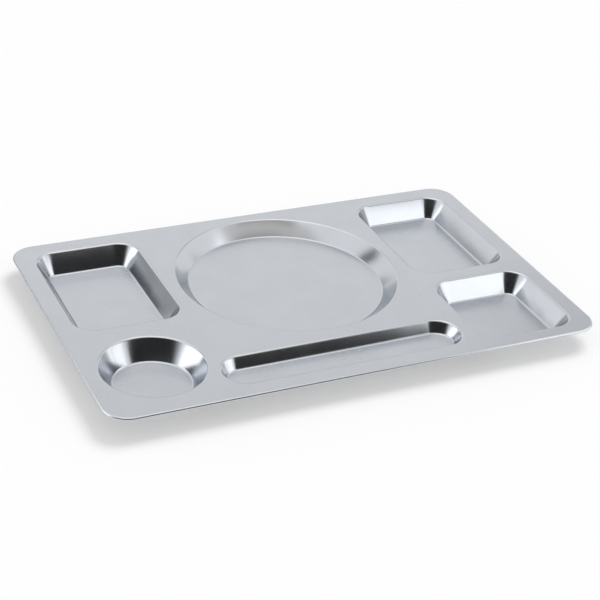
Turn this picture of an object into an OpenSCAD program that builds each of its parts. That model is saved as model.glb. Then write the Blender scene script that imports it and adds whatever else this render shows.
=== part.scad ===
// Divided cafeteria tray, pressed in one piece from stainless steel sheet.
// Millimetres. The origin is under the middle of the tray, on the surface that it stands on.
// +X runs along the length to the user's right, +Y away from the user, +Z up.
// Mouths, lands and margins are measured on the flat of the deck, where the bends start.

/* [Tray] */
// Length over the turned edge
tray_l = 530; // [440:1:640]
// Width over the turned edge
tray_w = 335; // [290:1:420]
// Radius of the tray's corners in plan
tray_corner_r = 25; // [15:1:45]
// Thickness of the sheet
sheet_t = 0.8; // [0.5:0.1:1.2]
// Radius inside the bend of the turned edge
edge_inner_r = 1.2; // [0.8:0.1:3]
// Straight height of the turned edge below its bend
edge_skirt = 0.3; // [0.2:0.1:5]

/* [Bends of the wells] */
// Radius under the sheet where the deck bends down into a well
shoulder_inner_r = 2.2; // [1:0.1:4]
// Radius inside a well where its wall meets its floor
floor_bend_r = 3; // [1.5:0.1:5]

/* [Deep wells] */
// Depth of the rectangular wells and the cup well, on which the tray stands
deep_depth = 21; // [16:0.5:30]
// How far a deep well's wall leans in on its way down
deep_run = 13; // [8:0.5:16]
// Radius of a rectangular well's corners at its mouth
well_corner_r = 25; // [22:0.5:35]
// Margin at the side of the rectangular wells
well_side_margin = 18; // [10:0.5:30]
// Margin behind the left and rear right wells
well_rear_margin = 19; // [10:0.5:30]
// Margin in front of the front right well
well_front_margin = 14; // [8:0.5:30]
// Length of the front right well's mouth
front_right_l = 114; // [80:1:118]
// Land between the two right wells
right_land = 16; // [8:0.5:30]

/* [Cup well] */
// Diameter of the cup well's mouth
cup_d = 108; // [80:1:120]
// Margin at the side of the cup well
cup_side_margin = 14.5; // [8:0.5:24]
// Margin in front of the cup well
cup_front_margin = 22; // [10:0.5:30]
// Land between the cup well and the left well
cup_land = 21; // [10:0.5:30]

/* [Plate well] */
// Depth of the plate well
plate_depth = 14.5; // [10:0.5:20]
// How far the plate well's wall leans in on its way down
plate_run = 15; // [8:0.5:22]
// Margin behind the plate well
plate_rear_margin = 13; // [8:0.5:30]
// Land between the plate well and a side well
plate_side_land = 11.5; // [8:0.5:24]
// Land between the plate well and the cutlery well
plate_front_land = 14.5; // [8:0.5:30]

/* [Cutlery well] */
// Width of the cutlery well's mouth, which has round ends
cutlery_w = 51; // [36:1:60]
// Depth of the cutlery well
cutlery_depth = 11.5; // [7:0.5:14]
// How far the cutlery well's wall leans in on its way down
cutlery_run = 7; // [5:0.5:13]
// Margin in front of the cutlery well
cutlery_front_margin = 17.5; // [10:0.5:30]
// Distance along the length from the cup well's side to the cutlery well's end
cutlery_cup_gap = 2; // [1:0.5:20]
// Land between the cutlery well and the front right well
cutlery_end_land = 11.5; // [8:0.5:30]

/* [Hidden] */
$fn = 128;

// Steps in each bend of a section
bend_steps = 6;
steel = [0.79, 0.81, 0.83];

tray_h = max(deep_depth, plate_depth, cutlery_depth) + sheet_t;
edge_r = edge_inner_r + sheet_t;
edge_drop = edge_r + edge_skirt;
shoulder_r = shoulder_inner_r + sheet_t;

// The plate well takes the width that the lands and the cutlery well leave
plate_d = tray_w - plate_rear_margin - plate_front_land - cutlery_w - cutlery_front_margin;
plate_y = tray_w / 2 - plate_rear_margin - plate_d / 2;

// The left well takes the room beside the plate well and behind the cup well, and the rear right well mirrors it
side_well_l = tray_l / 2 - well_side_margin - plate_side_land - plate_d / 2;
side_well_w = tray_w - well_rear_margin - cup_land - cup_d - cup_front_margin;
side_well_x = tray_l / 2 - well_side_margin - side_well_l / 2;
side_well_y = tray_w / 2 - well_rear_margin - side_well_w / 2;

front_right_w = tray_w - well_rear_margin - side_well_w - right_land - well_front_margin;
front_right_x = tray_l / 2 - well_side_margin - front_right_l / 2;
front_right_y = -tray_w / 2 + well_front_margin + front_right_w / 2;

cup_x = -tray_l / 2 + cup_side_margin + cup_d / 2;
cup_y = -tray_w / 2 + cup_front_margin + cup_d / 2;

// The cutlery well runs from beside the cup well to the land of the front right well
cutlery_start = cup_x + cup_d / 2 + cutlery_cup_gap;
cutlery_end = front_right_x - front_right_l / 2 - cutlery_end_land;
cutlery_l = cutlery_end - cutlery_start;
cutlery_x = (cutlery_start + cutlery_end) / 2;
cutlery_y = -tray_w / 2 + cutlery_front_margin + cutlery_w / 2;

// Points of an arc in a section, from one angle to another
function arc(centre, r, from, to) = [
    for (i = [0 : bend_steps])
        let (a = from + (to - from) * i / bend_steps)
        [centre.x + r * cos(a), centre.y + r * sin(a)]
];

// Section of the sheet from a well's mouth to the middle of its corner: shoulder bend, leaning wall,
// floor bend and floor. x is the distance from the middle of the corner, y the height over the deck's face.
function well_section(mouth_r, run, depth) =
    let (
        slope = atan2(depth, run),
        shoulder = [mouth_r, -shoulder_r],
        foot = [
            mouth_r - run - (shoulder_r + floor_bend_r) * tan(slope / 2),
            -depth + floor_bend_r
        ]
    )
    concat(
        arc(shoulder, shoulder_r, 90, 90 + slope),
        arc(foot, floor_bend_r, slope - 90, -90),
        [[0, -depth], [0, -depth - sheet_t]],
        arc(foot, floor_bend_r + sheet_t, -90, slope - 90),
        arc(shoulder, shoulder_inner_r, 90 + slope, 90)
    );

// Section of the sheet through the turned edge, from the middle of the tray's corner
function edge_section() =
    let (bend = [tray_corner_r - edge_r, -edge_r])
    concat(
        arc(bend, edge_r, 90, 0),
        [[tray_corner_r, -edge_drop], [tray_corner_r - sheet_t, -edge_drop]],
        arc(bend, edge_inner_r, 0, 90)
    );

// Rectangle with round corners, or a slot with round ends where w is twice r
module rounded_plan(l, w, r) {
    if (w > 2 * r) square([l, w - 2 * r], center = true);
    square([l - 2 * r, w], center = true);
    for (sx = [-1, 1], sy = [-1, 1])
        translate([sx * (l / 2 - r), sy * (w / 2 - r)]) circle(r);
}

// A section carried round that plan: a quarter turn at each corner and a straight run along each side
module carried_round(section, l, w, r) {
    straight_l = l - 2 * r;
    straight_w = w - 2 * r;
    for (side = [0 : 3]) {
        out = side % 2 == 0 ? straight_l / 2 : straight_w / 2;
        along = side % 2 == 0 ? straight_w : straight_l;
        rotate([0, 0, side * 90])
            translate([out, along / 2, 0])
                rotate_extrude(angle = 90) polygon(section);
        if (along > 0)
            rotate([0, 0, side * 90])
                translate([out, 0, 0])
                    rotate([90, 0, 0])
                        linear_extrude(along, center = true) polygon(section);
    }
}

// A pressed well with a rectangular or slot-shaped mouth, hung from the deck's face
module pressed_well(l, w, r, run, depth) {
    carried_round(well_section(r, run, depth), l, w, r);
    if (w > 2 * r)
        translate([0, 0, -depth - sheet_t / 2])
            cube([l - 2 * r, w - 2 * r, sheet_t], center = true);
}

// A pressed round well, hung from the deck's face
module round_well(d, run, depth) {
    rotate_extrude() polygon(well_section(d / 2, run, depth));
}

module at_face(x, y) {
    translate([x, y, tray_h]) children();
}

module deck() {
    color(steel)
        translate([0, 0, tray_h - sheet_t])
            linear_extrude(sheet_t)
                difference() {
                    rounded_plan(tray_l - 2 * edge_r, tray_w - 2 * edge_r, tray_corner_r - edge_r);
                    translate([0, plate_y]) circle(plate_d / 2);
                    translate([cup_x, cup_y]) circle(cup_d / 2);
                    translate([cutlery_x, cutlery_y]) rounded_plan(cutlery_l, cutlery_w, cutlery_w / 2);
                    for (side = [-1, 1])
                        translate([side * side_well_x, side_well_y])
                            rounded_plan(side_well_l, side_well_w, well_corner_r);
                    translate([front_right_x, front_right_y])
                        rounded_plan(front_right_l, front_right_w, well_corner_r);
                }
}

module turned_edge() {
    color(steel) at_face(0, 0) carried_round(edge_section(), tray_l, tray_w, tray_corner_r);
}

module plate_well() {
    color(steel) at_face(0, plate_y) round_well(plate_d, plate_run, plate_depth);
}

module cup_well() {
    color(steel) at_face(cup_x, cup_y) round_well(cup_d, deep_run, deep_depth);
}

module cutlery_well() {
    color(steel)
        at_face(cutlery_x, cutlery_y)
            pressed_well(cutlery_l, cutlery_w, cutlery_w / 2, cutlery_run, cutlery_depth);
}

module left_well() {
    color(steel)
        at_face(-side_well_x, side_well_y)
            pressed_well(side_well_l, side_well_w, well_corner_r, deep_run, deep_depth);
}

module rear_right_well() {
    color(steel)
        at_face(side_well_x, side_well_y)
            pressed_well(side_well_l, side_well_w, well_corner_r, deep_run, deep_depth);
}

module front_right_well() {
    color(steel)
        at_face(front_right_x, front_right_y)
            pressed_well(front_right_l, front_right_w, well_corner_r, deep_run, deep_depth);
}

deck();
turned_edge();
plate_well();
cup_well();
cutlery_well();
left_well();
rear_right_well();
front_right_well();
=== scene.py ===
"""Divided compartment plate: a cafeteria tray, pressed in one piece from satin stainless steel.

Metres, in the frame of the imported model. The origin is under the middle of the tray, on the
surface that it stands on, +X runs along its length and +Z is up. Each region of the sheet is a
piece of its own, which stands for the solid of the same name and takes its place and outline
from it.
"""

import logging
import math
from collections.abc import Sequence
from dataclasses import dataclass, field
from enum import Enum
from typing import ClassVar

import bmesh
import bpy
from mathutils import Matrix, Vector


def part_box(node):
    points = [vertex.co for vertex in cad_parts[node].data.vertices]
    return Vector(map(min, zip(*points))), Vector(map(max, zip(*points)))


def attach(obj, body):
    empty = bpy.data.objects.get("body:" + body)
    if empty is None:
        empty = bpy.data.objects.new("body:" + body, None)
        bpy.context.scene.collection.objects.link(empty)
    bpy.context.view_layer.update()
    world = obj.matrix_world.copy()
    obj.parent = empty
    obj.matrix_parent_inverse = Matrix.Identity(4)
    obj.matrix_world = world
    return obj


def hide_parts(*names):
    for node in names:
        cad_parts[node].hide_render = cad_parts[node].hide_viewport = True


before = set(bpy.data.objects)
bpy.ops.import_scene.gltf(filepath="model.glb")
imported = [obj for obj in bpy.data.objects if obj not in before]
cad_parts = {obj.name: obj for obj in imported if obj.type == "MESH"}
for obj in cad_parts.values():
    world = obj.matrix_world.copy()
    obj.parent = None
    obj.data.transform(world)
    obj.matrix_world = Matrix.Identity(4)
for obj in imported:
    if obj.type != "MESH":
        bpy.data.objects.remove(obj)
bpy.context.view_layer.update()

LOG = logging.getLogger("tray")
MM = 0.001
BODY = "root"
STEEL_SLOT = "satin_steel"
UP = Vector((0.0, 0.0, 1.0))

# Points nearer than this are one point
MERGE_WITHIN = 0.001 * MM
# Edges sharper than this stay sharp in the shading
SHARP_ANGLE = math.radians(35)
# Attributes of the sheet's points that the steel reads
FLOW = "flow"
CLIMB = "climb"

Colour = tuple[float, float, float]
Setting = bool | int | float | str

WHITE: Colour = (1.0, 1.0, 1.0)
WARM: Colour = (1.0, 0.965, 0.925)


class Value:
    """A node's output that takes part in Python sums, each of which adds its own node."""

    def __init__(self, graph: "Graph", socket: bpy.types.NodeSocket) -> None:
        """Wraps a socket.

        Args:
            graph: The graph that holds the socket's node.
            socket: The output socket.
        """
        self.graph = graph
        self.socket = socket

    def _sum(self, operation: str, first: "Operand", second: "Operand") -> "Value":
        """Adds the node of one sum.

        Args:
            operation: The operation's name, which both kinds of node share.
            first: The first operand.
            second: The second operand.

        Returns:
            The sum's result.
        """
        return self.graph.math(operation, first, second)

    def __add__(self, other: "Operand") -> "Value":
        """Returns this plus the other."""
        return self._sum("ADD", self, other)

    def __radd__(self, other: "Operand") -> "Value":
        """Returns the other plus this."""
        return self._sum("ADD", other, self)

    def __sub__(self, other: "Operand") -> "Value":
        """Returns this less the other."""
        return self._sum("SUBTRACT", self, other)

    def __rsub__(self, other: "Operand") -> "Value":
        """Returns the other less this."""
        return self._sum("SUBTRACT", other, self)

    def __mul__(self, other: "Operand") -> "Value":
        """Returns this times the other."""
        return self._sum("MULTIPLY", self, other)

    def __rmul__(self, other: "Operand") -> "Value":
        """Returns the other times this."""
        return self._sum("MULTIPLY", other, self)

    def __truediv__(self, other: "Operand") -> "Value":
        """Returns this over the other."""
        return self._sum("DIVIDE", self, other)

    def __rtruediv__(self, other: "Operand") -> "Value":
        """Returns the other over this."""
        return self._sum("DIVIDE", other, self)

    def __neg__(self) -> "Value":
        """Returns this with its sign changed."""
        return self._sum("MULTIPLY", self, -1.0)


Operand = Value | float | Sequence[float]


class Graph:
    """Builds one node tree, of a material or of geometry."""

    def __init__(self, tree: bpy.types.NodeTree) -> None:
        """Starts on an empty tree."""
        self.tree = tree

    def node(
        self,
        kind: str,
        settings: dict[str, Setting] | None = None,
        inputs: dict[str | int, object] | None = None,
    ) -> bpy.types.Node:
        """Makes a node of any kind.

        Args:
            kind: The node's type.
            settings: Its own properties, which are set first.
            inputs: What its sockets hold or are linked to, by name or by place.

        Returns:
            The new node.
        """
        made = self.tree.nodes.new(kind)
        for name, setting in (settings or {}).items():
            setattr(made, name, setting)
        for name, given in (inputs or {}).items():
            self.feed(made.inputs[name], given)
        return made

    def feed(self, socket: bpy.types.NodeSocket, given: object) -> None:
        """Links a value to a socket, or sets what the socket holds.

        Args:
            socket: The input socket.
            given: A Value to link, or anything that the socket can hold.
        """
        if isinstance(given, Value):
            self.tree.links.new(given.socket, socket)
        else:
            socket.default_value = given

    def value(
        self,
        kind: str,
        settings: dict[str, Setting] | None = None,
        inputs: dict[str | int, object] | None = None,
        output: str | int = 0,
    ) -> Value:
        """Makes a node and hands back one of its outputs.

        Args:
            kind: The node's type.
            settings: Its own properties.
            inputs: What its sockets hold or are linked to.
            output: The output's name or place.

        Returns:
            The output, ready for sums.
        """
        return Value(self, self.node(kind, settings, inputs).outputs[output])

    def math(self, operation: str, *operands: Operand) -> Value:
        """Adds a Math node, or a Vector Math node where an operand is a vector.

        Args:
            operation: The operation's name.
            operands: Values, numbers or vectors.

        Returns:
            The result.
        """
        if any(self._is_vector(operand) for operand in operands):
            given = {i: self._as_vector(operand) for i, operand in enumerate(operands)}
            return self.value("ShaderNodeVectorMath", {"operation": operation}, given)
        return self.value("ShaderNodeMath", {"operation": operation}, dict(enumerate(operands)))

    @staticmethod
    def _is_vector(operand: Operand) -> bool:
        """Tells whether an operand is a vector.

        Args:
            operand: A Value, a number or a vector.

        Returns:
            Whether it has three parts.
        """
        if isinstance(operand, Value):
            return operand.socket.type == "VECTOR"
        return isinstance(operand, Sequence)

    @staticmethod
    def _as_vector(operand: Operand) -> Operand:
        """Makes a plain number a vector of three like parts, as a link does for a linked one."""
        return (operand,) * 3 if isinstance(operand, (int, float)) else operand

    def vector(self, x: Operand, y: Operand, z: Operand) -> Value:
        """Joins three numbers into a vector."""
        return self.value("ShaderNodeCombineXYZ", inputs={0: x, 1: y, 2: z})

    def part(self, vector: Value, axis: str) -> Value:
        """Takes one part of a vector, named X, Y or Z."""
        return self.value("ShaderNodeSeparateXYZ", inputs={0: vector}, output=axis)


class ShaderGraph(Graph):
    """Builds a material's or the world's nodes."""

    NOISE_ROUGHNESS: ClassVar[float] = 0.55

    def noise(
        self, at: Value, spacing: float, detail: float, stretch: Sequence[float] = (1, 1, 1)
    ) -> Value:
        """Adds a noise that runs from about 0.2 to 0.8.

        Args:
            at: The coordinates, in metres.
            spacing: The size of its blotches, in metres.
            detail: How many finer layers it has.
            stretch: How much longer its blotches are along each axis.

        Returns:
            The noise.
        """
        share = tuple(1 / (spacing * part) for part in stretch)
        inputs = {
            "Vector": at * share,
            "Scale": 1.0,
            "Detail": detail,
            "Roughness": self.NOISE_ROUGHNESS,
        }
        return self.value("ShaderNodeTexNoise", {"noise_dimensions": "3D"}, inputs, "Fac")

    def ramp(self, of: Value, start: float, end: float) -> Value:
        """Eases from 0 to 1 as a value goes from a start to an end."""
        inputs = {"Value": of, "From Min": start, "From Max": end}
        return self.value("ShaderNodeMapRange", {"interpolation_type": "SMOOTHSTEP"}, inputs)

    def mix_colour(self, share: Value, first: Colour, second: Colour) -> Value:
        """Goes from one colour to another.

        Args:
            share: How much of the second colour is in the mix, from 0 to 1.
            first: The first colour.
            second: The second colour.

        Returns:
            The mix.
        """
        # Sockets go by place here, because those for numbers and for colours share their names
        inputs = {0: share, 6: (*first, 1.0), 7: (*second, 1.0)}
        return self.value("ShaderNodeMix", {"data_type": "RGBA"}, inputs, 2)

    def bump(self, height: Value, depth: float, under: Value | None = None) -> Value:
        """Adds relief.

        Args:
            height: The relief, as a share of the depth.
            depth: The depth, in metres.
            under: The normal of a coarser relief that it lies on.

        Returns:
            The new normal.
        """
        inputs: dict[str | int, object] = {"Height": height, "Distance": depth, "Strength": 1.0}
        if under is not None:
            inputs["Normal"] = under
        return self.value("ShaderNodeBump", inputs=inputs)


class GeometryGraph(Graph):
    """Builds a Geometry Nodes tree with named inputs."""

    KINDS: ClassVar[dict[type, str]] = {
        float: "NodeSocketFloat",
        int: "NodeSocketInt",
        tuple: "NodeSocketVector",
        bpy.types.Material: "NodeSocketMaterial",
    }

    def __init__(self, name: str, sizes: dict[str, object]) -> None:
        """Makes a tree that takes a geometry and a socket for each size.

        Args:
            name: The tree's name.
            sizes: The sizes by name; their types choose the sockets.
        """
        super().__init__(bpy.data.node_groups.new(name, "GeometryNodeTree"))
        face = self.tree.interface
        face.new_socket("Geometry", in_out="INPUT", socket_type="NodeSocketGeometry")
        face.new_socket("Geometry", in_out="OUTPUT", socket_type="NodeSocketGeometry")
        for size, given in sizes.items():
            face.new_socket(size, in_out="INPUT", socket_type=self.KINDS[type(given)])
        self.sizes = sizes
        self.entry = self.node("NodeGroupInput")
        self.geometry = Value(self, self.entry.outputs["Geometry"])

    def size(self, name: str) -> Value:
        """Returns the input of that name."""
        return Value(self, self.entry.outputs[name])

    def index(self) -> Value:
        """Returns each point's place in its list."""
        return self.value("GeometryNodeInputIndex")

    def choose(self, kind: str, index: Value, options: Sequence[Operand]) -> Value:
        """Picks an option by its place in the list.

        Args:
            kind: What is picked, FLOAT or VECTOR.
            index: The place.
            options: The options, as values or numbers.

        Returns:
            The one that the place picks.
        """
        switch = self.node("GeometryNodeIndexSwitch", {"data_type": kind}, {"Index": index})
        # A new switch has room for two
        for _ in options[2:]:
            switch.index_switch_items.new()
        for place, option in enumerate(options):
            self.feed(switch.inputs[place + 1], option)
        return Value(self, switch.outputs[0])

    def merge(self, mesh: Value) -> Value:
        """Joins points that lie on one another."""
        inputs = {"Geometry": mesh, "Distance": MERGE_WITHIN}
        return self.value("GeometryNodeMergeByDistance", inputs=inputs)

    def join(self, *meshes: Value) -> Value:
        """Puts meshes together.

        Args:
            meshes: The meshes.

        Returns:
            All of them as one geometry.
        """
        joiner = self.node("GeometryNodeJoinGeometry")
        for mesh in meshes:
            self.feed(joiner.inputs[0], mesh)
        return Value(self, joiner.outputs[0])

    def finish(self, mesh: Value) -> None:
        """Ends the tree with the mesh, smooth and in its material.

        Args:
            mesh: What the tree has made.
        """
        smooth = self.value("GeometryNodeSetShadeSmooth", inputs={"Geometry": mesh})
        real = self.value("GeometryNodeRealizeInstances", inputs={"Geometry": smooth})
        dressed = self.value(
            "GeometryNodeSetMaterial", inputs={"Geometry": real, "Material": self.size("Material")}
        )
        self.node("NodeGroupOutput", inputs={"Geometry": dressed})

    def run_on(self, base: bpy.types.Mesh, name: str) -> bpy.types.Object:
        """Runs the tree on a mesh and keeps what comes out as a plain mesh.

        Args:
            base: The mesh that the tree starts from.
            name: The new piece's name.

        Returns:
            The piece, at the origin, with no modifier.
        """
        piece = bpy.data.objects.new(name, base)
        bpy.context.scene.collection.objects.link(piece)
        modifier = piece.modifiers.new(self.tree.name, "NODES")
        modifier.node_group = self.tree
        for item in self.tree.interface.items_tree:
            if item.in_out == "INPUT" and item.name in self.sizes:
                modifier[item.identifier] = self.sizes[item.name]
        graph = bpy.context.evaluated_depsgraph_get()
        piece.data = bpy.data.meshes.new_from_object(piece.evaluated_get(graph))
        piece.data.name = name
        piece.modifiers.clear()
        return piece


class Zone(Enum):
    """The pressed regions of the sheet, by the name of the solid that each stands for."""

    DECK = "deck"
    TURNED_EDGE = "turned_edge"
    PLATE_WELL = "plate_well"
    CUP_WELL = "cup_well"
    CUTLERY_WELL = "cutlery_well"
    LEFT_WELL = "left_well"
    REAR_RIGHT_WELL = "rear_right_well"
    FRONT_RIGHT_WELL = "front_right_well"


@dataclass(frozen=True)
class SatinSteel:
    """Cold-rolled stainless steel, satin where it stayed flat, brighter where it was drawn.

    The glancing tint is its colour at a glancing angle. Flat upright and wall upright are the
    upright parts of a face's direction at which the flat's finish ends and the wall's is full. The
    waves and the belly, a slight crown, are those of a drawn wall.
    """

    light: Colour = (0.603, 0.628, 0.667)
    dull: Colour = (0.583, 0.608, 0.647)
    dull_clouds: tuple[float, float] = (0.45, 0.85)
    glancing_tint: Colour = (0.82, 0.83, 0.84)
    flat_upright: float = 0.985
    wall_upright: float = 0.86
    flat_roughness: float = 0.26
    wall_roughness: float = 0.18
    grain_width: float = 0.22 * MM
    grain_length_share: float = 40.0
    grain_depth: float = 0.0012 * MM
    grain_in_roughness: float = 0.07
    grain_in_colour: float = 0.3
    grain_detail: float = 2.0
    draw_mark_width: float = 0.5 * MM
    draw_mark_length_share: float = 60.0
    cloud_size: float = 35 * MM
    cloud_in_roughness: float = 0.04
    cloud_detail: float = 3.0
    wave_size: float = 45 * MM
    wave_depth: float = 0.6 * MM
    wave_detail: float = 0.5
    belly_share: float = 0.018

    def material(self) -> bpy.types.Material:
        """Builds the steel.

        Returns:
            The material.
        """
        made = bpy.data.materials.new(STEEL_SLOT)
        made.use_nodes = True
        made.node_tree.nodes.clear()
        graph = ShaderGraph(made.node_tree)
        at = graph.value("ShaderNodeTexCoord", output="Object")
        facing = graph.value("ShaderNodeNewGeometry", output="Normal")
        upright = graph.math("ABSOLUTE", graph.part(facing, "Z"))
        wall = graph.ramp(upright, self.flat_upright, self.wall_upright)
        flow = graph.value("ShaderNodeAttribute", {"attribute_name": FLOW}, output="Vector")
        grain = graph.noise(
            at, self.grain_width, self.grain_detail, (self.grain_length_share, 1, 1)
        )
        marks = graph.noise(
            flow, self.draw_mark_width, self.grain_detail, (1, 1, self.draw_mark_length_share)
        )
        fine = grain * (1 - wall) + marks * wall
        clouds = graph.noise(at, self.cloud_size, self.cloud_detail)
        roughness = (
            self.flat_roughness * (1 - wall) + self.wall_roughness * wall
            + self.grain_in_roughness * (fine - 0.5) + self.cloud_in_roughness * (clouds - 0.5)
        )
        climb = graph.value("ShaderNodeAttribute", {"attribute_name": CLIMB}, output="Vector")
        share, depth = graph.part(climb, "X"), graph.part(climb, "Y")
        # The belly is a parabola over the wall's height, full half-way up
        belly = 4 * share * (1 - share) * depth * self.belly_share
        waves = graph.noise(at, self.wave_size, self.wave_detail) * self.wave_depth
        wavy = graph.bump((belly + waves) * wall, 1.0)
        relief = graph.bump(fine, self.grain_depth, wavy)
        dulled = graph.ramp(clouds + self.grain_in_colour * fine, *self.dull_clouds)
        shader = graph.node(
            "ShaderNodeBsdfPrincipled",
            inputs={
                "Base Color": graph.mix_colour(dulled, self.light, self.dull),
                "Metallic": 1.0,
                "Roughness": roughness,
                "Specular Tint": (*self.glancing_tint, 1.0),
                "Normal": relief,
            },
        )
        graph.node("ShaderNodeOutputMaterial", inputs={"Surface": Value(graph, shader.outputs[0])})
        return made


@dataclass(frozen=True)
class Sheet:
    """The sheet that the tray is pressed from, and the bends that all its regions share.

    The radii of the shoulder, the floor bend and the edge are those of the upper face. The seam
    land is the flat that a well and the edge keep beside their bend, so that their seam with the
    deck lies on the flat.
    """

    thickness: float = 0.8 * MM
    shoulder_radius: float = 3.0 * MM
    floor_radius: float = 3.0 * MM
    edge_radius: float = 2.0 * MM
    edge_drop: float = 2.3 * MM
    cut_rounding: float = 0.2 * MM
    tray_corner_radius: float = 25 * MM
    seam_land: float = 1.0 * MM
    corner_steps: int = 40
    bend_steps: int = 10

    @property
    def face(self) -> float:
        """Height of the deck's face."""
        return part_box(Zone.DECK.value)[1][2]


@dataclass(frozen=True)
class Outline:
    """A rectangle with round corners, which may be a circle or a slot, in the deck's face."""

    middle: tuple[float, float]
    length: float
    width: float
    corner_radius: float

    @classmethod
    def of_node(cls, node: Zone, corner_radius: float | None = None) -> "Outline":
        """Reads an outline from a solid's box.

        Args:
            node: The solid.
            corner_radius: The corners' radius, or None for round ends.

        Returns:
            The outline.
        """
        low, high = (Vector(corner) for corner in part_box(node.value))
        length, width, _ = high - low
        middle = (low + high) / 2
        return cls((middle.x, middle.y), length, width, corner_radius or min(length, width) / 2)

    @property
    def half_length(self) -> float:
        """Distance from the middle to the corners' centres along X."""
        return self.length / 2 - self.corner_radius

    @property
    def half_width(self) -> float:
        """Distance from the middle to the corners' centres along Y."""
        return self.width / 2 - self.corner_radius

    def grown(self, by: float) -> "Outline":
        """Returns the parallel outline that much further out."""
        length, width = self.length + 2 * by, self.width + 2 * by
        return Outline(self.middle, length, width, self.corner_radius + by)


class CarriedGraph(GeometryGraph):
    """A tree that carries sections and outlines round four corners."""

    def corner(
        self, station: Value, half_length: Operand, half_width: Operand
    ) -> tuple[Value, Value, Value]:
        """Works out where a station of an outline stands.

        Args:
            station: The station's place in the round, from 0.
            half_length: Distance to the corners' centres along X.
            half_width: Distance to the corners' centres along Y.

        Returns:
            The centre of the station's corner, its direction outwards, and the length of outline
            behind it.
        """
        steps = self.size("Corner Steps")
        quarter = self.math("FLOOR", station / (steps + 1))
        step = station - quarter * (steps + 1)
        angle = (quarter + step / steps) * (math.pi / 2)
        diagonal = (quarter + 0.5) * (math.pi / 2)
        centre = self.vector(
            self.math("SIGN", self.math("COSINE", diagonal)) * half_length,
            self.math("SIGN", self.math("SINE", diagonal)) * half_width,
            0.0,
        )
        outwards = self.vector(self.math("COSINE", angle), self.math("SINE", angle), 0.0)
        sides = (
            self.math("CEIL", quarter / 2) * half_length
            + self.math("FLOOR", quarter / 2) * half_width
        )
        behind = self.size("Corner Radius") * angle + 2 * sides
        return centre, outwards, behind

    def section(self, points: Sequence[tuple[Operand, Operand, Operand]]) -> Value:
        """Draws a section of the sheet.

        Args:
            points: Each corner's distance outwards, its height over the face and its radius.

        Returns:
            The section as a curve in the XZ plane.
        """
        line = self.value("GeometryNodeMeshLine", inputs={"Count": len(points)})
        places = [self.vector(out, 0.0, height) for out, height, _ in points]
        placed = self.value(
            "GeometryNodeSetPosition",
            inputs={"Geometry": line, "Position": self.choose("VECTOR", self.index(), places)},
        )
        radii = self.choose("FLOAT", self.index(), [radius for _, _, radius in points])
        return self.value(
            "GeometryNodeFilletCurve",
            {"mode": "POLY"},
            {
                "Curve": self.value("GeometryNodeMeshToCurve", inputs={"Mesh": placed}),
                "Count": self.size("Bend Steps"),
                "Radius": radii,
            },
        )

    def carry(self, section: Value, drop: Value) -> Value:
        """Carries a section round the outline, hung from the deck's face.

        Args:
            section: The section as a curve. A point on its axis becomes the middle of the outline.
            drop: How far it goes down.

        Returns:
            The closed mesh. The attribute flow keeps the place round and down the sheet, and climb
            keeps the share of the drop that is climbed and the drop itself.
        """
        rows = self.value(
            "GeometryNodeAttributeDomainSize", {"component": "CURVE"}, {"Geometry": section}
        )
        stations = 4 * (self.size("Corner Steps") + 1)
        grid = self.value(
            "GeometryNodeMeshGrid", inputs={"Vertices X": stations + 1, "Vertices Y": rows}
        )
        station = self.math("FLOOR", self.index() / rows)
        row = self.index() - station * rows
        half_length = self.size("Length") / 2 - self.size("Corner Radius")
        half_width = self.size("Width") / 2 - self.size("Corner Radius")
        centre, outwards, behind = self.corner(station, half_length, half_width)
        point = self.sample(section, self.value("GeometryNodeInputPosition"), "FLOAT_VECTOR", row)
        length = self.value("GeometryNodeSplineParameter", output="Length")
        down = self.sample(section, length, "FLOAT", row)
        out = self.part(point, "X")
        off_axis = self.math("GREATER_THAN", out, MERGE_WITHIN)
        height = self.vector(0.0, 0.0, self.part(point, "Z"))
        place = centre * off_axis + outwards * out + height + self.size("Middle")
        placed = self.value("GeometryNodeSetPosition", inputs={"Geometry": grid, "Position": place})
        # For its pattern, the sheet is a tube as long round as the outline, so that it has no seam
        whole = math.tau * self.size("Corner Radius") + 4 * (half_length + half_width)
        turn = behind / whole * math.tau
        reach = whole / math.tau
        flow = self.vector(self.math("COSINE", turn) * reach, self.math("SINE", turn) * reach, down)
        marked = self.value(
            "GeometryNodeStoreNamedAttribute",
            {"data_type": "FLOAT_VECTOR", "domain": "POINT"},
            {"Geometry": placed, "Name": FLOW, "Value": flow},
        )
        climb = self.vector(1 + self.part(point, "Z") / drop, drop, 0.0)
        marked = self.value(
            "GeometryNodeStoreNamedAttribute",
            {"data_type": "FLOAT_VECTOR", "domain": "POINT"},
            {"Geometry": marked, "Name": CLIMB, "Value": climb},
        )
        return self.merge(self.value("GeometryNodeFlipFaces", inputs={"Mesh": marked}))

    def sample(self, geometry: Value, of: Value, kind: str, index: Value) -> Value:
        """Reads a value at a point of another geometry.

        Args:
            geometry: The other geometry.
            of: The value, as that geometry has it.
            kind: The value's kind, FLOAT or FLOAT_VECTOR.
            index: The point's place in its list.

        Returns:
            The value there.
        """
        return self.value(
            "GeometryNodeSampleIndex",
            {"data_type": kind, "domain": "POINT"},
            {"Geometry": geometry, "Value": of, "Index": index},
        )


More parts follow.
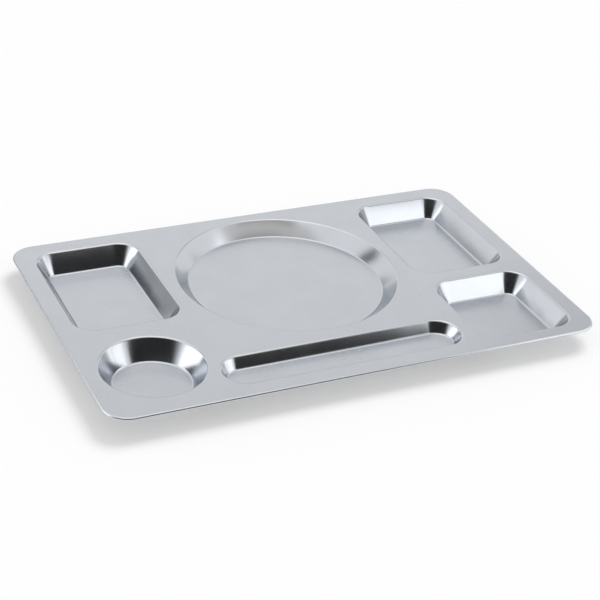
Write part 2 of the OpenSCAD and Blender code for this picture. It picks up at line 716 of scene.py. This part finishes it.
@dataclass
class PressedWell:
    """A well pressed into the deck: shoulder bend, leaning wall, floor bend and flat floor."""

    zone: Zone
    sheet: Sheet
    material: bpy.types.Material
    run: float
    corner_radius: float | None = None
    outline: Outline = field(init=False)
    depth: float = field(init=False)

    def __post_init__(self) -> None:
        """Reads the mouth and the depth from the solid."""
        self.outline = Outline.of_node(self.zone, self.corner_radius)
        low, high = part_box(self.zone.value)
        self.depth = high[2] - low[2] - self.sheet.thickness

    def build(self) -> bpy.types.Object:
        """Builds the well.

        Returns:
            The piece.
        """
        sizes = {
            "Middle": (*self.outline.middle, self.sheet.face),
            "Length": self.outline.length,
            "Width": self.outline.width,
            "Corner Radius": self.outline.corner_radius,
            "Depth": self.depth,
            "Run": self.run,
            "Shoulder Radius": self.sheet.shoulder_radius,
            "Floor Radius": self.sheet.floor_radius,
            "Sheet": self.sheet.thickness,
            "Land": self.sheet.seam_land,
            "Corner Steps": self.sheet.corner_steps,
            "Bend Steps": self.sheet.bend_steps,
            "Material": self.material,
        }
        graph = CarriedGraph("pressed_well", sizes)
        graph.finish(graph.carry(self._section(graph), graph.size("Depth")))
        return graph.run_on(bpy.data.meshes.new(self.zone.value), f"{self.zone.value}_sheet")

    @staticmethod
    def _section(graph: CarriedGraph) -> Value:
        """Draws the section from the middle of the floor to the deck and back along the underside.

        Args:
            graph: The tree that holds the sizes.

        Returns:
            The section as a curve.
        """
        depth, sheet = graph.size("Depth"), graph.size("Sheet")
        shoulder, floor = graph.size("Shoulder Radius"), graph.size("Floor Radius")
        slope = graph.math("ARCTAN2", depth, graph.size("Run"))
        bend = graph.math("TANGENT", slope / 2)
        shoulder_at = graph.size("Corner Radius") - shoulder * bend
        foot_at = shoulder_at - graph.size("Run")
        ring_at = foot_at - floor * bend - graph.size("Land")
        land_at = graph.size("Corner Radius") + graph.size("Land")
        return graph.section([
            (0.0, -depth, 0.0),
            (ring_at, -depth, 0.0),
            (foot_at, -depth, floor),
            (shoulder_at, 0.0, shoulder),
            (land_at, 0.0, 0.0),
            (land_at, -sheet, 0.0),
            (shoulder_at + sheet * bend, -sheet, shoulder - sheet),
            (foot_at + sheet * bend, -depth - sheet, floor + sheet),
            (ring_at, -depth - sheet, 0.0),
            (0.0, -depth - sheet, 0.0),
        ])


@dataclass
class TurnedEdge:
    """The tray's edge, turned down round its outline to a deburred cut."""

    sheet: Sheet
    material: bpy.types.Material
    zone: Zone = Zone.TURNED_EDGE

    @property
    def outline(self) -> Outline:
        """The tray's outline over the turned edge."""
        return Outline.of_node(self.zone, self.sheet.tray_corner_radius)

    def build(self) -> bpy.types.Object:
        """Builds the edge.

        Returns:
            The piece.
        """
        outline = self.outline
        sizes = {
            "Middle": (*outline.middle, self.sheet.face),
            "Length": outline.length,
            "Width": outline.width,
            "Corner Radius": outline.corner_radius,
            "Edge Radius": self.sheet.edge_radius,
            "Drop": self.sheet.edge_drop,
            "Cut Rounding": self.sheet.cut_rounding,
            "Sheet": self.sheet.thickness,
            "Land": self.sheet.seam_land,
            "Corner Steps": self.sheet.corner_steps,
            "Bend Steps": self.sheet.bend_steps,
            "Material": self.material,
        }
        graph = CarriedGraph("turned_edge", sizes)
        graph.finish(graph.carry(self._section(graph), graph.size("Drop")))
        return graph.run_on(bpy.data.meshes.new(self.zone.value), f"{self.zone.value}_sheet")

    @staticmethod
    def _section(graph: CarriedGraph) -> Value:
        """Draws the closed section of the edge, from the deck over the bend to the cut and back.

        Args:
            graph: The tree that holds the sizes.

        Returns:
            The section as a curve.
        """
        sheet, radius = graph.size("Sheet"), graph.size("Edge Radius")
        drop, rounding = graph.size("Drop"), graph.size("Cut Rounding")
        out = graph.size("Corner Radius")
        land_at = out - radius - graph.size("Land")
        return graph.section([
            (land_at, -sheet, 0.0),
            (land_at, 0.0, 0.0),
            (out, 0.0, radius),
            (out, -drop, rounding),
            (out - sheet, -drop, rounding),
            (out - sheet, -sheet, radius - sheet),
            (land_at, -sheet, 0.0),
        ])


@dataclass
class Deck:
    """The flat of the tray between its wells."""

    sheet: Sheet
    material: bpy.types.Material
    rim: Outline
    mouths: list[Outline]
    zone: Zone = Zone.DECK

    OUTLINE_SIZES: ClassVar[tuple[str, ...]] = ("half_length", "half_width", "corner_radius")

    def build(self) -> bpy.types.Object:
        """Builds the deck.

        Returns:
            The piece.
        """
        inwards = self.sheet.edge_radius + self.sheet.seam_land
        outlines = [self.rim.grown(-inwards)]
        outlines += [mouth.grown(self.sheet.seam_land) for mouth in self.mouths]
        sizes = {
            "Face Height": self.sheet.face,
            "Sheet": self.sheet.thickness,
            "Outlines": len(outlines),
            "Corner Steps": self.sheet.corner_steps,
            # Each seed has its own radius, and this one takes part only in a length that isn't used
            "Corner Radius": 0.0,
            "Material": self.material,
        }
        graph = CarriedGraph("deck", sizes)
        graph.finish(self._slab(graph, self._curves(graph)))
        return graph.run_on(self._seeds(outlines), f"{self.zone.value}_sheet")

    def _seeds(self, outlines: list[Outline]) -> bpy.types.Mesh:
        """Puts a point in the middle of each outline.

        Args:
            outlines: The tray's outline and the wells' mouths.

        Returns:
            The points, with the outlines' sizes as their attributes.
        """
        seeds = bpy.data.meshes.new(self.zone.value)
        seeds.from_pydata([(*outline.middle, 0.0) for outline in outlines], [], [])
        for size in self.OUTLINE_SIZES:
            layer = seeds.attributes.new(size, "FLOAT", "POINT")
            layer.data.foreach_set("value", [getattr(outline, size) for outline in outlines])
        return seeds

    def _curves(self, graph: CarriedGraph) -> Value:
        """Draws the outlines round the seeds.

        Args:
            graph: The tree.

        Returns:
            A closed curve for each seed.
        """
        stations = 4 * (graph.size("Corner Steps") + 1)
        outline = graph.math("FLOOR", graph.index() / stations)
        station = graph.index() - outline * stations
        kept = [
            graph.value("GeometryNodeInputNamedAttribute", {"data_type": "FLOAT"}, {"Name": size})
            for size in self.OUTLINE_SIZES
        ]
        half_length, half_width, radius = (
            graph.sample(graph.geometry, size, "FLOAT", outline) for size in kept
        )
        middle = graph.sample(
            graph.geometry, graph.value("GeometryNodeInputPosition"), "FLOAT_VECTOR", outline
        )
        centre, outwards, _ = graph.corner(station, half_length, half_width)
        points = graph.value(
            "GeometryNodePoints",
            inputs={
                "Count": stations * graph.size("Outlines"),
                "Position": middle + centre + outwards * radius,
            },
        )
        curves = graph.value(
            "GeometryNodePointsToCurves", inputs={"Points": points, "Curve Group ID": outline}
        )
        return graph.value(
            "GeometryNodeSetSplineCyclic", inputs={"Geometry": curves, "Cyclic": True}
        )

    @staticmethod
    def _slab(graph: CarriedGraph, curves: Value) -> Value:
        """Fills between the outlines and gives the sheet its thickness.

        Args:
            graph: The tree.
            curves: The outlines.

        Returns:
            The closed mesh.
        """
        sheet = graph.size("Sheet")
        filled = graph.value("GeometryNodeFillCurve", {"mode": "TRIANGLES"}, {"Curve": curves})
        lift = graph.vector(0.0, 0.0, graph.size("Face Height") - sheet)
        under = graph.value(
            "GeometryNodeSetPosition", inputs={"Geometry": graph.merge(filled), "Offset": lift}
        )
        raised = graph.value(
            "GeometryNodeExtrudeMesh",
            {"mode": "FACES"},
            {"Mesh": under, "Offset": (0.0, 0.0, 1.0), "Offset Scale": sheet, "Individual": False},
        )
        bottom = graph.value("GeometryNodeFlipFaces", inputs={"Mesh": under})
        return graph.merge(graph.join(raised, bottom))


@dataclass(frozen=True)
class Card:
    """A flat card or soft box that stands or hangs round the tray and is seen only in its metal.

    Its middle, width and height are in metres. In degrees, turn is the azimuth that it faces and
    lean how far it tips over to face the ground. The fades are the widths over which its glow
    fades out at its left, right, bottom and top.
    """

    name: str
    middle: tuple[float, float, float]
    turn: float
    width: float
    height: float
    level: float
    fades: tuple[float, float, float, float]
    lean: float = 0.0
    tint: Colour = WHITE

    SPREAD: ClassVar[str] = "spread"

    def build(self) -> None:
        """Hangs the card, hidden from the camera, from diffuse rays and from shadows."""
        facing = direction(self.turn, 0.0)
        across = UP.cross(facing)
        rise = direction(self.turn, 90 - self.lean)
        mesh = bpy.data.meshes.new(self.name)
        spots = [(0.0, 0.0), (self.width, 0.0), (self.width, self.height), (0.0, self.height)]
        corners = [
            Vector(self.middle) + across * (along - self.width / 2) + rise * (up - self.height / 2)
            for along, up in spots
        ]
        mesh.from_pydata(corners, [], [(0, 1, 2, 3)])
        spread = mesh.uv_layers.new(name=self.SPREAD)
        for loop, spot in zip(spread.data, spots):
            loop.uv = spot
        mesh.materials.append(self._material())
        made = bpy.data.objects.new(self.name, mesh)
        bpy.context.scene.collection.objects.link(made)
        made.visible_camera = False
        made.visible_diffuse = False
        made.visible_shadow = False

    def _material(self) -> bpy.types.Material:
        """Makes the card's even glow, which fades out towards its edges.

        Returns:
            The material.
        """
        made = bpy.data.materials.new(self.name)
        made.use_nodes = True
        made.node_tree.nodes.clear()
        graph = ShaderGraph(made.node_tree)
        spread = graph.value("ShaderNodeUVMap", {"uv_map": self.SPREAD})
        along, up = graph.part(spread, "X"), graph.part(spread, "Y")
        left, right, bottom, top = self.fades
        inside = (
            graph.ramp(along, 0.0, left) * graph.ramp(self.width - along, 0.0, right)
            * graph.ramp(up, 0.0, bottom) * graph.ramp(self.height - up, 0.0, top)
        )
        glow = graph.value(
            "ShaderNodeEmission", inputs={"Color": (*self.tint, 1.0), "Strength": self.level}
        )
        clear = graph.value("ShaderNodeBsdfTransparent")
        mixed = graph.value("ShaderNodeMixShader", inputs={0: inside, 1: clear, 2: glow})
        graph.node("ShaderNodeOutputMaterial", inputs={"Surface": mixed})
        return made


def direction(azimuth: float, elevation: float) -> Vector:
    """Works out the unit vector that points that way.

    Args:
        azimuth: The angle from +X towards +Y, in degrees.
        elevation: The angle above the floor, in degrees.

    Returns:
        The vector.
    """
    turn, rise = math.radians(azimuth), math.radians(elevation)
    level = math.cos(rise)
    return Vector((math.cos(turn) * level, math.sin(turn) * level, math.sin(rise)))


@dataclass
class Studio:
    """A pale floor, soft light, a white surround and the camera of the photograph.

    Angles are in degrees. The floor's glow is the share of plain white that the camera sees in it,
    and the fill is how strongly the surround lights what isn't a mirror.
    """

    floor_half: float = 8.0
    floor_level: float = -0.2 * MM
    floor_shade: Colour = (0.9, 0.9, 0.9)
    floor_glow: float = 0.4
    camera_at: tuple[float, float, float] = (-0.64406, -1.24964, 0.83516)
    camera_yaw: float = 27.296
    camera_pitch: float = -30.509
    camera_roll: float = 4.926
    camera_lens: float = 93.48
    camera_sensor: float = 36.0
    camera_near: float = 0.05
    surround: float = 1.0
    fill: float = 0.6
    key_energy: float = 2.1
    key_breadth: float = 30.0
    key_azimuth: float = 36.0
    key_elevation: float = 48.0
    cards: tuple[Card, ...] = (
        # Grey cards behind and beside the tray, from low to high, and the dark gap between two
        Card(
            "low_left", middle=(-0.68, 1.60, 0.18), turn=-54, width=1.64, height=0.76,
            level=0.37, fades=(0.24, 0.5, 0.05, 0.2),
        ),
        Card(
            "low_back", middle=(0.98, 2.2, 0.25), turn=-114, width=2.6, height=0.7,
            level=0.52, fades=(0.4, 0.4, 0.05, 0.35),
        ),
        Card(
            "gap", middle=(-1.03, 1.205, 1.17), turn=-50, width=0.8, height=0.6,
            level=0.04, fades=(0.28, 0.22, 0.25, 0.25),
        ),
        Card(
            "low_right", middle=(2.0, 0.0, 0.35), turn=176, width=1.7, height=1.5,
            level=0.55, fades=(0.4, 0.25, 0.05, 0.5),
        ),
        Card(
            "dim_right", middle=(1.66, 1.42, 1.9), turn=-139.5, width=1.1, height=2.2,
            level=0.54, fades=(0.6, 0.3, 0.6, 0.5),
        ),
        Card(
            "high_back", middle=(0.76, 2.28, 2.05), turn=-108.5, width=3.4, height=1.3,
            level=0.76, fades=(0.6, 1.3, 0.6, 0.3),
        ),
        # The dark card in front, which the walls mirror where they look black
        Card(
            "flag", middle=(0.07, -1.95, 2.1), turn=58.5, width=6.64, height=3.4,
            level=0.016, fades=(0.66, 1.1, 0.2, 1.7),
        ),
        # Bright soft boxes at the left and right
        Card(
            "soft_left", middle=(-1.61, 0.53, 0.67), turn=-28.5, width=1.74, height=1.32,
            level=1.87, fades=(0.3, 0.12, 0.14, 0.48),
        ),
        Card(
            "soft_right", middle=(0.98, -0.49, 0.41), turn=93.6, width=1.32, height=0.79,
            level=1.62, fades=(0.45, 0.08, 0.05, 0.34),
        ),
        Card(
            "soft_right_near", middle=(0.89, -0.21, 0.54), turn=49.3, width=0.71, height=1.07,
            level=1.7, fades=(0.32, 0.4, 0.05, 0.3),
        ),
        # Overhead, facing down
        Card(
            "soft_top", middle=(0.2, 0.65, 2.3), turn=-90, width=1.7, height=2.3,
            level=1.44, fades=(0.2, 0.3, 0.4, 0.12), lean=90, tint=WARM,
        ),
        Card(
            "dark_gap", middle=(0.35, -0.625, 2.35), turn=-90, width=1.9, height=0.45,
            level=0.36, fades=(0.3, 0.3, 0.05, 0.12), lean=90, tint=WARM,
        ),
        Card(
            "dusk", middle=(0.3, -1.85, 2.37), turn=-90, width=4.1, height=1.7,
            level=0.2, fades=(1.1, 0.6, 0.6, 0.5), lean=90, tint=WARM,
        ),
        Card(
            "ceiling", middle=(0.3, -1.45, 2.4), turn=-90, width=4.1, height=2.1,
            level=0.76, fades=(1.1, 0.6, 0.1, 0.6), lean=90, tint=WARM,
        ),
    )

    def build(self) -> None:
        """Builds all of it."""
        self._camera()
        self._floor()
        self._world()
        self._lamps()
        bpy.context.scene.view_settings.view_transform = "Standard"

    def _camera(self) -> None:
        """Places the camera as a fit to the photograph found it."""
        forward = direction(90 - self.camera_yaw, self.camera_pitch)
        level = forward.cross(UP).normalized()
        turn = Matrix.Rotation(math.radians(-self.camera_roll), 3, forward)
        right = turn @ level
        lens = bpy.data.cameras.new("camera")
        lens.lens = self.camera_lens
        lens.sensor_width = self.camera_sensor
        lens.clip_start = self.camera_near
        camera = bpy.data.objects.new("camera", lens)
        axes = Matrix((right, right.cross(forward), -forward)).transposed()
        camera.matrix_world = Matrix.Translation(self.camera_at) @ axes.to_4x4()
        bpy.context.scene.collection.objects.link(camera)
        bpy.context.scene.camera = camera

    def _floor(self) -> None:
        """Lays the pale floor."""
        mesh = bpy.data.meshes.new("floor")
        side = self.floor_half
        plan = [(-side, -side), (side, -side), (side, side), (-side, side)]
        mesh.from_pydata([(x, y, self.floor_level) for x, y in plan], [], [(0, 1, 2, 3)])
        floor = bpy.data.objects.new("floor", mesh)
        bpy.context.scene.collection.objects.link(floor)
        made = bpy.data.materials.new("pale_floor")
        made.use_nodes = True
        made.node_tree.nodes.clear()
        graph = ShaderGraph(made.node_tree)
        matt = graph.value("ShaderNodeBsdfDiffuse", inputs={"Color": (*self.floor_shade, 1.0)})
        white = graph.value("ShaderNodeEmission", inputs={"Color": (*WHITE, 1.0), "Strength": 1.0})
        seen = graph.value("ShaderNodeLightPath", output="Is Camera Ray")
        mixed = graph.value(
            "ShaderNodeMixShader", inputs={0: seen * self.floor_glow, 1: matt, 2: white}
        )
        graph.node("ShaderNodeOutputMaterial", inputs={"Surface": mixed})
        mesh.materials.append(made)

    def _world(self) -> None:
        """Makes the surround white to the camera and in the metal, and dimmer as a light."""
        world = bpy.data.worlds.new("surround")
        world.use_nodes = True
        world.node_tree.nodes.clear()
        bpy.context.scene.world = world
        graph = ShaderGraph(world.node_tree)
        path = graph.node("ShaderNodeLightPath")
        camera, glossy = (
            Value(graph, path.outputs[ray]) for ray in ("Is Camera Ray", "Is Glossy Ray")
        )
        other = graph.math("MAXIMUM", 0.0, 1 - camera - glossy)
        strength = self.surround * (camera + glossy) + self.fill * other
        background = graph.value(
            "ShaderNodeBackground", inputs={"Color": (*WHITE, 1.0), "Strength": strength}
        )
        graph.node("ShaderNodeOutputWorld", inputs={"Surface": background})

    def _lamps(self) -> None:
        """Hangs the cards and the sun-like key that gives the floor its shadow."""
        key = bpy.data.lights.new("key", "SUN")
        key.energy = self.key_energy
        key.angle = math.radians(self.key_breadth)
        made = bpy.data.objects.new("key", key)
        towards = -direction(self.key_azimuth, self.key_elevation)
        made.rotation_euler = towards.to_track_quat("-Z", "Y").to_euler()
        made.visible_glossy = False
        bpy.context.scene.collection.objects.link(made)
        for card in self.cards:
            card.build()


@dataclass
class Tray:
    """The whole tray. A run is how far the wall of a well leans in on its way down."""

    sheet: Sheet = field(default_factory=Sheet)
    finish: SatinSteel = field(default_factory=SatinSteel)
    deep_run: float = 13 * MM
    plate_run: float = 15 * MM
    cutlery_run: float = 7 * MM
    well_corner_radius: float = 25 * MM

    def build(self) -> list[bpy.types.Object]:
        """Builds every region, dresses it and puts it in the place of its solid.

        Returns:
            The pieces.
        """
        steel = self.finish.material()
        round_ended = {
            Zone.PLATE_WELL: self.plate_run,
            Zone.CUP_WELL: self.deep_run,
            Zone.CUTLERY_WELL: self.cutlery_run,
        }
        rectangular = (Zone.LEFT_WELL, Zone.REAR_RIGHT_WELL, Zone.FRONT_RIGHT_WELL)
        wells = [PressedWell(zone, self.sheet, steel, run) for zone, run in round_ended.items()]
        wells += [
            PressedWell(zone, self.sheet, steel, self.deep_run, self.well_corner_radius)
            for zone in rectangular
        ]
        edge = TurnedEdge(self.sheet, steel)
        deck = Deck(self.sheet, steel, edge.outline, [well.outline for well in wells])
        return [self._place(part.zone, part.build()) for part in (deck, edge, *wells)]

    @staticmethod
    def _place(zone: Zone, piece: bpy.types.Object) -> bpy.types.Object:
        """Marks a piece's sharp cuts and ties it to the frame.

        Args:
            zone: The region that it stands for.
            piece: The piece.

        Returns:
            The same piece.
        """
        piece.data.set_sharp_from_angle(angle=SHARP_ANGLE)
        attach(piece, BODY)
        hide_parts(zone.value)
        return piece


def report(piece: bpy.types.Object) -> None:
    """Logs a piece's triangles, its open edges and its volume.

    Args:
        piece: The piece.
    """
    loose = bmesh.new()
    loose.from_mesh(piece.data)
    open_edges = sum(not edge.is_manifold for edge in loose.edges)
    volume = loose.calc_volume(signed=True) / MM**3
    loose.free()
    piece.data.calc_loop_triangles()
    triangles = len(piece.data.loop_triangles)
    LOG.info("%s: %d triangles, %d open edges, %.1f mm3", piece.name, triangles, open_edges, volume)


def main() -> None:
    """Builds the tray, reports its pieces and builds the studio."""
    logging.basicConfig(level=logging.INFO, format="%(message)s")
    pieces = Tray().build()
    for piece in pieces:
        report(piece)
    Studio().build()
    LOG.info("%d pieces", len(pieces))


if __name__ == "__main__":
    main()
